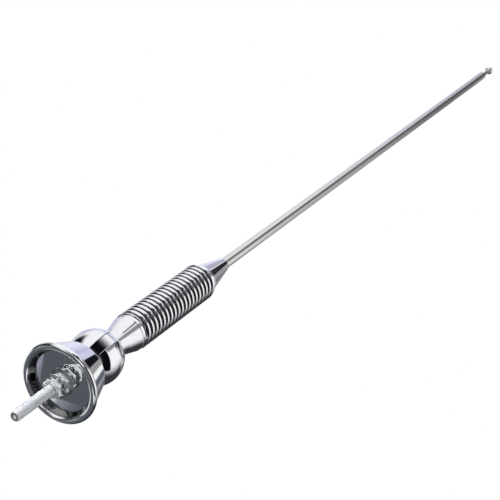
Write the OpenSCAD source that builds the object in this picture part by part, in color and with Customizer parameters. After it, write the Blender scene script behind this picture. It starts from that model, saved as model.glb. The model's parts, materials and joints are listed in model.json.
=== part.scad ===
// Car mast aerial: a chrome bell on a threaded stud, a slotted ball that turns in the bell,
// a foot that tilts in the ball, a close-wound spring and a telescopic mast of three sections.
// Millimetres, +Z up the mast, origin at the centre of the bell's rim.
// X is the axis of the ball's pivot screw. The mast is drawn pushed in.

/* [Cup] */
// Outer radius of the cup at its rim
rim_r = 19; // [17:0.5:23]
// Width of the rounded rim
rim_w = 3.3; // [2.4:0.1:4]
// Width of the flat land under the rim
rim_land_w = 0.8; // [0.4:0.1:1.2]
// How far the flank stands back from the rim
flank_step = 0.9; // [0.5:0.1:1.4]
// Radius of the rounded shoulder
shoulder_fillet = 3; // [2:0.25:3.5]
// How far the centre of the shoulder's rounding lies outside the centre of the lip's
shoulder_out = 0.7; // [0.2:0.1:1.4]
// Height of the centre of the shoulder's rounding
shoulder_z = 14.6; // [13.5:0.1:15.2]
// Rounding of the lip around the ball
lip_round = 0.5; // [0.3:0.05:0.7]
// How far the centre of the lip's rounding lies inside the ball's widest radius
lip_in = 3; // [2.5:0.1:3.4]
// Least thickness of the cast wall
cup_wall = 3; // [2.4:0.1:3.4]
// Thickness of the seat below the ball
seat_thick = 1; // [0.7:0.1:1.4]

/* [Base plate] */
// Depth of the plate's lower face above the rim plane
plate_z = 3.8; // [3.4:0.1:5]
// Thickness of the plate
plate_t = 1.1; // [0.8:0.1:1.6]
// Radius of the plate
plate_r = 14.3; // [13:0.1:14.6]
// Width of the ledge that the plate bears on
ledge_w = 1.2; // [0.8:0.1:1.6]

/* [Stud and its nuts] */
// Radius of the threaded stud
stud_r = 2.5; // [2:0.1:2.9]
// How far the stud reaches below the rim plane
stud_len = 29.5; // [22:0.5:45]
// Chamfer at the stud's end
stud_chamfer = 0.6; // [0.3:0.1:0.8]
// Radius of the stud's thicker upper end
shank_r = 3; // [3:0.1:3.4]
// Thickness of the wide washer against the plate
clamp_washer_t = 0.8; // [0.5:0.1:1]
// Radius of the wide washer
clamp_washer_r = 6.2; // [5.4:0.1:8]
// Width across flats of the large nut
clamp_nut_af = 9; // [8:0.5:11]
// Thickness of the split washer under the large nut
lock_washer_t = 0.65; // [0.5:0.05:1]
// Radius of the split washer
lock_washer_r = 5.2; // [4:0.1:5.5]
// Width of the split in the washer
lock_split_w = 0.8; // [0.4:0.1:1.2]
// Thickness of the flat washer
flat_washer_t = 0.9; // [0.6:0.1:1.2]
// Radius of the flat washer
flat_washer_r = 5.6; // [5:0.1:7]
// Thickness of the toothed washer
tooth_washer_t = 0.45; // [0.3:0.05:0.8]
// Radius of the toothed washer over its teeth
tooth_washer_r = 5; // [4.5:0.1:5.4]
// Number of teeth on the toothed washer
tooth_n = 10; // [8:1:12]
// Width of one tooth
tooth_w = 1.5; // [1:0.1:1.7]
// Twist of a tooth out of the washer's plane, in degrees
tooth_twist = 12; // [6:1:16]
// Width across flats of the small nut
nut_af = 8; // [7:0.5:9]
// Thickness of the small nut
nut_t = 2.7; // [2.4:0.1:4]

/* [Ball and foot] */
// Radius of the ball
ball_r = 12.9; // [12.6:0.1:13.4]
// Height of the ball's centre above the rim plane
ball_z = 28.3; // [28:0.1:29]
// Thickness of the foot's tongue
tongue_t = 5.4; // [4:0.1:6.4]
// Chamfer on the edges of the slot and the tongue
edge_break = 0.25; // [0.15:0.05:0.4]
// Radius of the hub below the ball
hub_r = 7.8; // [7:0.1:8]
// Height of the hub's lower end
hub_z = 7; // [6.2:0.1:8]
// Radius of the pivot screw's shank
pivot_r = 2.5; // [2:0.1:2.8]
// Radius of the pivot screw's head
pivot_head_r = 4; // [3.6:0.1:4.4]
// Depth of the blind end of the pivot's hole in the far cheek
pivot_reach = 9.8; // [8:0.1:10.5]
// Thickness of a friction washer
friction_t = 0.6; // [0.4:0.1:0.9]
// Radius of a friction washer
friction_r = 4; // [3.8:0.1:5]
// Radius of the neck where it meets the ball
neck_r = 6.6; // [5.8:0.1:7]
// Height at which the neck starts to widen
cone_z0 = 45; // [44:0.5:47]
// Height at which the cone reaches the collar
cone_z1 = 53.4; // [51:0.1:54.5]
// Radius of the collar below the spring
collar_r = 8.9; // [8.4:0.1:9.6]

/* [Spring] */
// Height of the spring's lower end
spring_z = 56; // [55.5:0.1:58]
// Number of turns
turns = 19; // [12:1:20]
// Diameter of the spring wire
wire_d = 3.15; // [2.8:0.05:3.3]
// Gap between two turns
turn_gap = 0.1; // [0.05:0.05:0.2]
// Outer radius of the spring
spring_r = 9.4; // [9:0.1:10]
// Length of each spigot inside the spring
spigot_len = 8.5; // [6:0.5:11]
// Radius of the braided lead
lead_r = 1.5; // [1:0.1:2]

/* [Upper ferrule] */
// Thickness of the flange above the spring
flange_t = 1.65; // [1.2:0.05:2.4]
// Radius of the flange
flange_r = 8.75; // [8.2:0.05:9.4]
// Width of the groove above the flange
groove_w = 0.6; // [0.4:0.1:1]
// Radius at the bottom of the groove
groove_r = 7; // [6:0.1:7.4]
// Thickness of the ring at the foot of the ferrule
foot_ring_t = 0.9; // [0.6:0.1:1.5]
// Radius of the ring at the foot of the ferrule
foot_ring_r = 8.1; // [7.9:0.05:8.6]
// Radius of the ferrule's cone at its lower end
ferrule_r0 = 7.8; // [7.4:0.1:8.2]
// Radius of the ferrule's cone at its upper end
ferrule_r1 = 3.65; // [3.5:0.05:4.2]
// Length of the ferrule's cone
ferrule_len = 21.5; // [19:0.5:28]
// Radius of the screwed boss between plug and ferrule
boss_r = 4; // [3.2:0.1:4.4]
// Length of the screwed boss
boss_len = 6.5; // [5:0.5:7]

/* [Mast] */
// Outer radius of the outer tube
tube_r = 2.8; // [2.6:0.05:3.1]
// Wall of each tube
tube_wall = 0.35; // [0.3:0.05:0.4]
// Length of the outer tube above the ferrule
tube_len = 405.5; // [300:0.5:600]
// Depth of the outer tube in the ferrule
tube_depth = 13; // [9:0.5:14]
// Radial space between one section and the next
tube_play = 0.3; // [0.25:0.05:0.4]
// How far the middle tube stands out at rest
middle_out = 1.2; // [0.8:0.1:3]
// Length of the rod that shows at rest
rod_out = 12; // [9:0.5:20]
// Radius of the tip ball
tip_r = 2.95; // [2.4:0.05:4]
// Length of each contact sleeve
sleeve_len = 12; // [8:0.5:16]
// Free depth below each sliding section at rest
bottom_gap = 3.5; // [2:0.5:6]
// Length of the rolled-in end of each tube
roll_len = 1.4; // [1:0.1:2]

/* [Clearances] */
// Running clearance of the ball in its seat
seat_gap = 0.08; // [0.05:0.01:0.09]
// Clearance on each side of the tongue
slot_gap = 0.15; // [0.12:0.01:0.25]
// Clearance between the tongue's edge and the ball's outline, and below the tongue
round_gap = 0.3; // [0.25:0.05:0.4]
// Running clearance of pivots and sliding sleeves
run_gap = 0.04; // [0.02:0.01:0.05]
// Clearance of threads and pressed fits inside one assembly
thread_gap = 0.05; // [0.03:0.01:0.08]
// Clearance of plain holes round a shank
hole_gap = 0.3; // [0.2:0.05:0.4]

/* [Hidden] */

// Number of flat sides on a nut, and fineness of every round surface
hex = 6;
$fn = 96;
// Overlap of a cutting solid past the face that it cuts
cut = 1;

// Colours of the finishes
chrome = [0.84, 0.85, 0.88];
dark_chrome = [0.45, 0.48, 0.50];
zinc = [0.72, 0.73, 0.72];
stainless = [0.70, 0.68, 0.66];
copper = [0.72, 0.45, 0.28];

// Rounding of the rim and its centre
rim_round = rim_w / 2;
rim_c = [rim_r - rim_round, sqrt(pow(rim_round, 2) - pow(rim_land_w / 2, 2))];
// Foot of the flank, just inside the rim's rounding
flank_foot = [rim_r - flank_step, rim_c.y + rim_round * 0.75];
// The lip's rounding touches the spherical seat, and the shoulder lies just outside it
seat_r = ball_r + seat_gap;
lip_x = ball_r - lip_in;
shoulder_x = lip_x + shoulder_out;
shoulder_c = [shoulder_x, shoulder_z];
lip_c = [lip_x, ball_z - sqrt(pow(seat_r + lip_round, 2) - pow(lip_x, 2))];
// Pocket of the plate and the cavity above it
pocket_r = plate_r + thread_gap;
pocket_z = plate_z + plate_t;
hub_hole_r = hub_r + hole_gap;
seat_low_z = ball_z - sqrt(pow(seat_r, 2) - pow(hub_hole_r, 2));

// Stack of washers and nuts, from the plate down the stud
clamp_washer_z = plate_z - thread_gap - clamp_washer_t;
clamp_nut_t = clamp_washer_z;
clamp_nut_z = clamp_washer_z - clamp_nut_t;
lock_washer_z = clamp_nut_z - lock_washer_t;
flat_washer_z = lock_washer_z - flat_washer_t;
tooth_washer_z = flat_washer_z - tooth_washer_t;
nut_z = tooth_washer_z - nut_t;
shank_z = clamp_nut_z + 0.2;
shank_top = hub_z + 6;
stud_root_r = stud_r - 0.3;
washer_hole_r = stud_r + 0.2;

// Slot, tongue and pivot
slot_w = tongue_t + 2 * slot_gap;
tongue_r = ball_r - round_gap;
slot_r = tongue_r + round_gap;
bore_r = pivot_r + run_gap;
head_land = 0.3;
head_x = sqrt(pow(ball_r, 2) - pow(pivot_head_r, 2)) - 0.3;
head_len = pivot_head_r - pivot_r;
friction_sink = friction_t - slot_gap + run_gap;
neck_z = ball_z + sqrt(pow(seat_r + round_gap, 2) - pow(neck_r, 2));
cone_r0 = neck_r + 0.15;

// Spring and spigots
pitch = wire_d + turn_gap;
spring_len = turns * pitch;
spring_top = spring_z + spring_len;
end_gap = 0.05;
spigot_r = spring_r - wire_d - 0.15;
lead_hole_r = lead_r + 0.1;
lead_depth = spigot_len - 2 * lead_r;

// Upper ferrule
flange_z = spring_top;
groove_z = flange_z + flange_t;
foot_ring_z = groove_z + groove_w;
ferrule_z = foot_ring_z + foot_ring_t;
ferrule_top = ferrule_z + ferrule_len;
tube_z = ferrule_top - tube_depth;
tube_top = ferrule_top + tube_len;
tube_bore = tube_r - tube_wall;

// Sliding sections, each sized from the one round it
middle_r = tube_bore - tube_play;
middle_z = tube_z + bottom_gap;
middle_top = tube_top + middle_out;
middle_bore = middle_r - tube_wall;
rod_r = middle_bore - tube_play;
rod_z = middle_z + bottom_gap;
rod_top = middle_top + rod_out;
tip_z = rod_top + tip_r * 0.6;

// Wire sections of the spring for each turn, and corners of one section
ring_n = 24;
section_n = 8;
// How far the ground ends cut into the wire, as a share of its radius
ground = 0.5;

function polar(angle, radius) = radius * [cos(angle), sin(angle)];

// Direction of the outer normal of the line that touches circle a and circle b on the side given
function tangent_dir(a, ra, b, rb, side) =
    atan2(b.y - a.y, b.x - a.x) + side * acos((ra - rb) / norm(b - a));

module washer(outer_r, inner_r, thick) {
    difference() {
        cylinder(r = outer_r, h = thick);
        translate([0, 0, -cut]) cylinder(r = inner_r, h = thick + 2 * cut);
    }
}

// Solid of revolution about the X axis from an outline in radius and X
module turned_x() {
    rotate([0, 90, 0]) rotate_extrude() children();
}

// Hexagon nut with both faces chamfered at the corners
module hex_block(across, thick, hole_r) {
    corner_r = across / 2 / cos(30);
    bevel = corner_r - across / 2;
    difference() {
        intersection() {
            cylinder(r = corner_r, h = thick, $fn = hex);
            rotate_extrude()
                polygon([
                    [0, 0], [across / 2, 0], [corner_r, bevel * 0.6],
                    [corner_r, thick - bevel * 0.6], [across / 2, thick], [0, thick]
                ]);
        }
        translate([0, 0, -cut]) cylinder(r = hole_r, h = thick + 2 * cut);
    }
}

// Cast bell: rounded rim, conical flank, rounded shoulder and a lip with a spherical seat
module base_cup() {
    flank_dir = tangent_dir(shoulder_c, shoulder_fillet, flank_foot, 0, 1);
    dome_dir = tangent_dir(shoulder_c, shoulder_fillet, lip_c, lip_round, -1);
    color(chrome) rotate_extrude() difference() {
        union() {
            difference() {
                union() {
                    polygon([
                        [0, rim_c.y], rim_c, flank_foot,
                        shoulder_c + polar(flank_dir, shoulder_fillet),
                        shoulder_c,
                        shoulder_c + polar(dome_dir, shoulder_fillet),
                        lip_c + polar(dome_dir, lip_round),
                        lip_c, [0, lip_c.y]
                    ]);
                    translate(shoulder_c) circle(r = shoulder_fillet);
                    translate(lip_c) circle(r = lip_round);
                }
                // Sloping wall up to the plate
                polygon([
                    [0, rim_c.y - cut], [rim_r - rim_w, rim_c.y - cut],
                    [rim_r - rim_w, rim_c.y], [pocket_r, plate_z], [0, plate_z]
                ]);
            }
            translate(rim_c) circle(r = rim_round);
        }
        // Flat land under the rim
        translate([0, -rim_w]) square([rim_r + cut, rim_w]);
        // Pocket of the plate
        translate([0, plate_z - cut]) square([pocket_r, plate_t + cut]);
        // Cavity, narrowing to the hole for the hub
        polygon([
            [0, plate_z], [pocket_r - ledge_w, pocket_z],
            [shoulder_x + shoulder_fillet - cup_wall, shoulder_z],
            [hub_hole_r, seat_low_z - seat_thick], [hub_hole_r, ball_z], [0, ball_z]
        ]);
        translate([0, ball_z]) circle(r = seat_r);
    }
}

module base_plate() {
    color(dark_chrome) translate([0, 0, plate_z]) washer(plate_r, shank_r + hole_gap, plate_t);
}

// Slotted ball on its hub. The cheeks are joined by the hub, below the slot.
module ball_yoke() {
    color(chrome) difference() {
        union() {
            translate([0, 0, ball_z]) sphere(r = ball_r);
            translate([0, 0, hub_z]) cylinder(r = hub_r, h = ball_z - ball_r / 2 - hub_z);
        }
        translate([0, 0, ball_z]) {
            // Slot
            rotate([0, 90, 0]) cylinder(r = slot_r, h = slot_w, center = true);
            // Broken edges of both cheeks
            for (side = [0, 1]) mirror([side, 0, 0]) turned_x()
                polygon([
                    [tongue_r - edge_break, slot_w / 2 - cut / 4],
                    [tongue_r + cut, slot_w / 2 - cut / 4],
                    [tongue_r + cut, slot_w / 2 + edge_break + cut],
                    [tongue_r - edge_break, slot_w / 2]
                ]);
            // Hole for the screw, from the head's side to the blind end in the far cheek
            turned_x()
                polygon([
                    [0, pivot_reach], [pivot_r + thread_gap, pivot_reach],
                    [pivot_r + thread_gap, -head_x + head_land + head_len + thread_gap],
                    [pivot_head_r + thread_gap, -head_x + head_land + thread_gap],
                    [pivot_head_r + thread_gap, -ball_r - cut], [0, -ball_r - cut]
                ]);
        }
        // Tapped hole for the stud
        translate([0, 0, hub_z - cut])
            cylinder(r = shank_r + thread_gap, h = shank_top + thread_gap - hub_z + cut);
    }
}

// Stud with a thicker upper end that screws into the hub, at its root radius inside the nuts
module mount_stud() {
    dimple_r = stud_r * 0.36;
    color(zinc) rotate_extrude()
        polygon([
            [0, -stud_len + dimple_r], [dimple_r, -stud_len],
            [stud_r - stud_chamfer, -stud_len], [stud_r, -stud_len + stud_chamfer],
            [stud_r, nut_z], [stud_root_r, nut_z],
            [stud_root_r, shank_z], [shank_r, shank_z],
            [shank_r, shank_top - stud_chamfer], [shank_r - stud_chamfer, shank_top],
            [0, shank_top]
        ]);
}

module clamp_washer() {
    color(zinc) translate([0, 0, clamp_washer_z])
        washer(clamp_washer_r, shank_r + thread_gap * 2, clamp_washer_t);
}

module clamp_nut() {
    color(zinc) translate([0, 0, clamp_nut_z])
        hex_block(clamp_nut_af, clamp_nut_t, shank_r + thread_gap);
}

// Spring washer with a slanting split
module lock_washer() {
    slant = 25;
    color(zinc) translate([0, 0, lock_washer_z]) difference() {
        washer(lock_washer_r, washer_hole_r, lock_washer_t);
        translate([0, -lock_washer_r / 2, lock_washer_t / 2]) rotate([0, slant, 0])
            cube([lock_split_w, lock_washer_r + cut, lock_washer_t * 3], center = true);
    }
}

module flat_washer() {
    color(zinc) translate([0, 0, flat_washer_z])
        washer(flat_washer_r, washer_hole_r, flat_washer_t);
}

// Washer with teeth round its edge, each twisted about its own length
module tooth_washer() {
    root_r = (washer_hole_r + tooth_washer_r) / 2;
    blade_t = tooth_washer_t - tooth_w * sin(tooth_twist) * 0.6;
    color(zinc) translate([0, 0, tooth_washer_z]) difference() {
        union() {
            washer(root_r, washer_hole_r, tooth_washer_t);
            intersection() {
                washer(tooth_washer_r, root_r - tooth_washer_t, tooth_washer_t);
                for (k = [0 : tooth_n - 1]) rotate([0, 0, k * 360 / tooth_n])
                    translate([(root_r + tooth_washer_r) / 2, 0, tooth_washer_t / 2])
                        rotate([tooth_twist, 0, 0])
                            cube([tooth_washer_r, tooth_w, max(blade_t, 0.2)], center = true);
            }
        }
        translate([0, 0, -cut]) cylinder(r = washer_hole_r, h = tooth_washer_t + 2 * cut);
    }
}

module hex_nut() {
    color(zinc) translate([0, 0, nut_z]) hex_block(nut_af, nut_t, stud_r + thread_gap);
}

// Countersunk screw with a cross recess, put in from the -X side
module pivot_screw() {
    recess_w = pivot_head_r * 0.28;
    recess_len = pivot_head_r * 1.2;
    color(zinc) translate([0, 0, ball_z]) difference() {
        turned_x()
            polygon([
                [0, pivot_reach - 0.3], [pivot_r - 0.4, pivot_reach - 0.3],
                [pivot_r, pivot_reach - 0.7],
                [pivot_r, -head_x + head_land + head_len],
                [pivot_head_r, -head_x + head_land], [pivot_head_r, -head_x], [0, -head_x]
            ]);
        for (turn = [0, 90]) rotate([turn, 0, 0]) translate([-head_x, 0, 0])
            cube([head_len * 1.4, recess_w, recess_len], center = true);
    }
}

// Tongue, neck, cone, collar and spigot turned and milled from one bar
module swivel_foot() {
    web_w = 2 * (neck_r - 0.4);
    color(chrome) difference() {
        union() {
            translate([0, 0, ball_z]) turned_x()
                polygon([
                    [0, -tongue_t / 2], [tongue_r - edge_break, -tongue_t / 2],
                    [tongue_r, -tongue_t / 2 + edge_break], [tongue_r, tongue_t / 2 - edge_break],
                    [tongue_r - edge_break, tongue_t / 2], [0, tongue_t / 2]
                ]);
            translate([-tongue_t / 2, -web_w / 2, ball_z]) cube([tongue_t, web_w, neck_z + 4 - ball_z]);
            difference() {
                rotate_extrude()
                    polygon([
                        [0, neck_z - 2], [neck_r, neck_z - 2], [neck_r, cone_z0 - 2], [cone_r0, cone_z0],
                        [collar_r - 0.15, cone_z1], [collar_r, cone_z1 + 0.3],
                        [collar_r, spring_z - end_gap - 0.3], [collar_r - 0.3, spring_z - end_gap],
                        [spigot_r, spring_z - end_gap], [spigot_r, spring_z + spigot_len - 0.6],
                        [spigot_r - 0.6, spring_z + spigot_len], [0, spring_z + spigot_len]
                    ]);
                translate([0, 0, ball_z]) sphere(r = seat_r + round_gap);
            }
        }
        // Pivot bore with a sunk seat for a friction washer on each side
        translate([0, 0, ball_z]) rotate([0, 90, 0]) {
            cylinder(r = bore_r, h = tongue_t + 2 * cut, center = true);
            for (side = [0, 1]) mirror([0, 0, side]) translate([0, 0, tongue_t / 2 - friction_sink])
                cylinder(r = friction_r + thread_gap, h = friction_sink + cut);
        }
        // Socket of the braided lead
        translate([0, 0, spring_z + spigot_len - lead_depth])
            cylinder(r = lead_hole_r, h = lead_depth + cut);
    }
}

module pivot_washers() {
    for (side = [0, 1]) color(stainless) translate([0, 0, ball_z]) mirror([side, 0, 0])
        translate([tongue_t / 2 - friction_sink + run_gap / 2, 0, 0]) rotate([0, 90, 0])
            washer(friction_r, bore_r + thread_gap, friction_t);
}

// Corners of the wire's section at one angle along the coil. The ends are ground flat.
function wire_ring(angle, low, high) = [
    for (k = [0 : section_n - 1])
        let (
            a = k * 360 / section_n,
            r = spring_r - wire_d / 2 + wire_d / 2 * cos(a),
            z = low - wire_d / 2 * ground + pitch * angle / 360 + wire_d / 2 * sin(a)
        )
        [r * cos(angle), -r * sin(angle), max(low, min(high, z))]
];

// Close-wound spring swept along its helix, with both ends ground flat
module coil_spring() {
    low = spring_z;
    high = spring_top - end_gap;
    sweep = (high - low + wire_d * ground) / pitch * 360;
    steps = ceil(sweep * ring_n / 360);
    points = [for (i = [0 : steps]) each wire_ring(i * sweep / steps, low, high)];
    sides = [
        for (i = [0 : steps - 1], k = [0 : section_n - 1])
            let (a = i * section_n + k, b = i * section_n + (k + 1) % section_n)
            each [[a, b, a + section_n], [b, b + section_n, a + section_n]]
    ];
    // Each end is a fan of triangles from the corner away from the ground face
    top = section_n / 4;
    base = section_n * 3 / 4;
    last = steps * section_n;
    first_end = [
        for (k = [0 : section_n - 1])
            let (m = (k + 1) % section_n)
            if (k != top && m != top) [top, m, k]
    ];
    last_end = [
        for (k = [0 : section_n - 1])
            let (m = (k + 1) % section_n)
            if (k != base && m != base) [last + base, last + k, last + m]
    ];
    color(chrome) polyhedron(points, concat(sides, first_end, last_end), convexity = 10);
}

module inner_lead() {
    low = spring_z + spigot_len - lead_depth + 0.5;
    high = spring_top - spigot_len + lead_depth - 0.5;
    color(copper) translate([0, 0, low]) cylinder(r = lead_r, h = high - low);
}

// Flanged plug in the upper end of the spring, with a screwed boss for the ferrule
module spring_plug() {
    low = spring_top - spigot_len;
    color(chrome) difference() {
        rotate_extrude()
            polygon([
                [0, low], [spigot_r - 0.6, low], [spigot_r, low + 0.6], [spigot_r, flange_z],
                [flange_r - 0.3, flange_z], [flange_r, flange_z + 0.3],
                [flange_r, groove_z - 0.3], [flange_r - 0.3, groove_z],
                [groove_r, groove_z], [groove_r, foot_ring_z],
                [boss_r, foot_ring_z], [boss_r, foot_ring_z + boss_len - 0.4],
                [boss_r - 0.4, foot_ring_z + boss_len], [0, foot_ring_z + boss_len]
            ]);
        translate([0, 0, low - cut]) cylinder(r = lead_hole_r, h = lead_depth + cut);
    }
}

// Cone that joins the plug to the mast
module upper_ferrule() {
    tip_bevel = 0.5;
    color(chrome) difference() {
        rotate_extrude()
            polygon([
                [0, foot_ring_z], [foot_ring_r - 0.2, foot_ring_z], [foot_ring_r, foot_ring_z + 0.2],
                [foot_ring_r, ferrule_z - 0.2], [foot_ring_r - 0.2, ferrule_z],
                [ferrule_r0, ferrule_z],
                [ferrule_r1, ferrule_top - tip_bevel], [ferrule_r1 - tip_bevel, ferrule_top],
                [0, ferrule_top]
            ]);
        translate([0, 0, foot_ring_z - cut])
            cylinder(r = boss_r + thread_gap, h = boss_len + thread_gap + cut);
        translate([0, 0, tube_z]) cylinder(r = tube_r + thread_gap, h = tube_depth + cut);
    }
}

// Tube with its upper end rolled in to keep the sleeve of the next section
module rolled_tube(outer_r, low, high, exit_r) {
    bore = outer_r - tube_wall;
    rotate_extrude()
        polygon([
            [bore, low], [outer_r, low], [outer_r, high - roll_len],
            [exit_r + tube_wall, high - 0.15], [exit_r + tube_wall - 0.15, high], [exit_r, high],
            [exit_r, high - 0.2], [bore, high - roll_len]
        ]);
}

module outer_tube() {
    color(stainless) rolled_tube(tube_r, tube_z, tube_top, middle_r + run_gap);
}

module middle_tube() {
    color(stainless) rolled_tube(middle_r, middle_z, middle_top, rod_r + run_gap);
}

// Split contact sleeve on the lower end of a sliding section
module contact_sleeve(inner_r, outer_r, low) {
    split_w = 0.6;
    translate([0, 0, low]) difference() {
        washer(outer_r, inner_r, sleeve_len);
        translate([0, -split_w / 2, -cut]) cube([outer_r + cut, split_w, sleeve_len + 2 * cut]);
    }
}

module middle_sleeve() {
    color(copper) contact_sleeve(middle_r + 0.02, tube_bore - run_gap, middle_z);
}

module inner_rod() {
    color(stainless) translate([0, 0, rod_z]) cylinder(r = rod_r, h = rod_top - rod_z);
}

module rod_sleeve() {
    color(copper) contact_sleeve(rod_r + 0.02, middle_bore - run_gap, rod_z);
}

// Safety ball on the tip, with a blind hole for the rod
module tip_ball() {
    color(chrome) difference() {
        translate([0, 0, tip_z]) sphere(r = tip_r);
        translate([0, 0, tip_z - tip_r - cut])
            cylinder(r = rod_r + 0.02, h = rod_top - tip_z + tip_r + cut);
    }
}

base_cup();
base_plate();
ball_yoke();
mount_stud();
clamp_washer();
clamp_nut();
lock_washer();
flat_washer();
tooth_washer();
hex_nut();
pivot_screw();
swivel_foot();
pivot_washers();
coil_spring();
inner_lead();
spring_plug();
upper_ferrule();
outer_tube();
middle_tube();
middle_sleeve();
inner_rod();
rod_sleeve();
tip_ball();
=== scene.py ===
"""Dresses a chrome car aerial: turned and wound surfaces, plated and drawn metals, and a plain studio."""

import json
from math import cos, pi, radians, sin, sqrt

import bmesh
import bpy
import numpy as np
from bpy.props import FloatProperty, FloatVectorProperty, IntProperty, PointerProperty
from mathutils import Matrix, Vector


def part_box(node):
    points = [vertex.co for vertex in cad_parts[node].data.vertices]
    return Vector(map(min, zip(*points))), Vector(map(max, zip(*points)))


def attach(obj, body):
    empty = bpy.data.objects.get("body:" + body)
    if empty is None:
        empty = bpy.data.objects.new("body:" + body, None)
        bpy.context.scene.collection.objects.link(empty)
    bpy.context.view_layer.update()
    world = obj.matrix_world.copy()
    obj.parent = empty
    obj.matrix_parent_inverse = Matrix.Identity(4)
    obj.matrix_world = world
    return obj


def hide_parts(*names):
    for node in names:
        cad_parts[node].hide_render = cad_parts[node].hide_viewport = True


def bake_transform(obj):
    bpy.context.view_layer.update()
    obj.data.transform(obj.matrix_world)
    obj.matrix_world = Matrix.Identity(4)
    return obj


bl_info = {
    "name": "Car mast aerial",
    "version": (1, 0, 0),
    "blender": (4, 5, 0),
    "location": "View3D > Sidebar > Aerial",
    "description": "Builds the plated bell, ball, spring, ferrule and telescopic mast over the solids",
    "category": "Object",
}

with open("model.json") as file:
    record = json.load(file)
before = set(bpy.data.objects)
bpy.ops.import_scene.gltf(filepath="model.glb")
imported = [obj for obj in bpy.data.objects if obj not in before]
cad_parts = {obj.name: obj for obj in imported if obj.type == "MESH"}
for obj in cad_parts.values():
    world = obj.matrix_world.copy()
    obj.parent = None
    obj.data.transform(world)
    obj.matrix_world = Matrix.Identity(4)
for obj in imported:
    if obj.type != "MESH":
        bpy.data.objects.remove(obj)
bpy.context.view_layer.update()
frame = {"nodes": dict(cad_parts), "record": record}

BALL_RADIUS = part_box("ball_yoke")[1].x
JOINTS = {joint["name"]: joint for joint in frame["record"]["behaviour"]["joints"]}
BALL_HEIGHT = JOINTS["knuckle"]["pos_m"][2]
SPRING_LOW, SPRING_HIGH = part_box("coil_spring")
LEAD_LOW, LEAD_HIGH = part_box("inner_lead")
TUBE_LOW, TUBE_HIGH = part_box("outer_tube")
MIDDLE_LOW, MIDDLE_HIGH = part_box("middle_tube")
ROD_LOW, ROD_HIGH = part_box("inner_rod")
TIP_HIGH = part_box("tip_ball")[1]
STUD_LOW, STUD_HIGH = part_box("mount_stud")
NUT_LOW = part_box("hex_nut")[0]
STACK = ("clamp_washer", "clamp_nut", "lock_washer", "flat_washer", "tooth_washer", "hex_nut")

# Sizes that several pieces share, in metres: bevels, and radius and depth of the holes for the lead
BEVEL = 0.0003
SPIGOT_BEVEL = 0.0006
LEAD_HOLE = 0.0016
LEAD_DEPTH = 0.0055


def length(name, description, default):
    """A size in metres."""
    return number(name, description, default, min=0.0, precision=5, unit="LENGTH")


def number(name, description, default, **kind):
    """A plain number, or one of the kind that is given."""
    return FloatProperty(name=name, description=description, default=default, **kind)


def spot(name, description, default):
    """A point, in metres."""
    return FloatVectorProperty(
        name=name, description=description, default=default, size=len(default), unit="LENGTH"
    )


def colour(name, description, default):
    """A colour in linear light."""
    return FloatVectorProperty(
        name=name, description=description, default=default, min=0.0, max=1.0, size=3, subtype="COLOR"
    )


# Settings


class AerialStageSettings(bpy.types.PropertyGroup):
    """Camera, floor, surroundings and lamps"""

    camera_at: spot("Camera", "Where the camera stands, below the aerial", (0.0974, -0.3907, -0.3852))
    camera_target: spot("Target", "Point on the mast that the camera looks at", (0.00215, 0.00052, 0.16926))
    camera_roll: number("Roll", "Turn of the camera about its line of sight", radians(53.63), subtype="ANGLE")
    camera_lens: number("Lens", "Focal length in millimetres", 93.38)
    floor_height: number("Floor height", "Height of the floor", -0.62, unit="LENGTH")
    floor_colour: colour("Floor", "Colour of the floor", (0.86, 0.86, 0.87))
    room_light: number("Room light", "Light of the surroundings on matt surfaces", 0.75)
    lamp_power: number("Lamp", "Power of the overhead soft lamp", 9.0, unit="POWER")
    stud_lamp_power: number("Stud lamp", "Power of the lamp on the stud and nuts", 0.4, unit="POWER")
    card_distance: length("Card distance", "How far from the aerial the nearest card stands", 5.0)
    card_step: length("Card step", "Distance between one card and the next", 0.05)
    tile_height: number("Tile height", "Height of the tiles under the aerial", -0.2, unit="LENGTH")
    tile_centre: spot("Tile centre", "Centre of the disc that the tiles are cut off", (-0.0510, 0.2047))
    tile_radius: length("Tile radius", "Radius of the disc that the tiles are cut off", 0.0230)


class AerialBellSettings(bpy.types.PropertyGroup):
    """Cast bell with its rounded rim"""

    rim_radius: length("Rim radius", "Outer radius of the rim", 0.019)
    rim_width: length("Rim width", "Width of the rounded rim", 0.0033)
    rim_land: length("Rim land", "Width of the flat land under the rim", 0.0008)
    flank_step: length("Flank step", "How far the flank starts inside the rim", 0.0009)
    shoulder_radius: length("Shoulder radius", "Rounding of the shoulder", 0.003)
    shoulder_reach: length("Shoulder reach", "Radius at which the rounding is centred", 0.0106)
    shoulder_height: length("Shoulder height", "Height of the centre of the shoulder's rounding", 0.0146)
    lip_round: length("Lip rounding", "Rounding of the lip round the ball", 0.0005)
    lip_reach: length("Lip reach", "Radius of the lip", 0.0099)
    wall: length("Wall", "Thickness of the bell's wall", 0.003)
    plate_height: length("Plate height", "Height of the plate inside the rim", 0.0038)
    plate_radius: length("Plate radius", "Radius of the plate's pocket", 0.01435)
    plate_thickness: length("Plate thickness", "Thickness of the plate", 0.0011)
    hub_hole: length("Hub hole", "Radius of the hole for the ball's hub", 0.0081)


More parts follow.
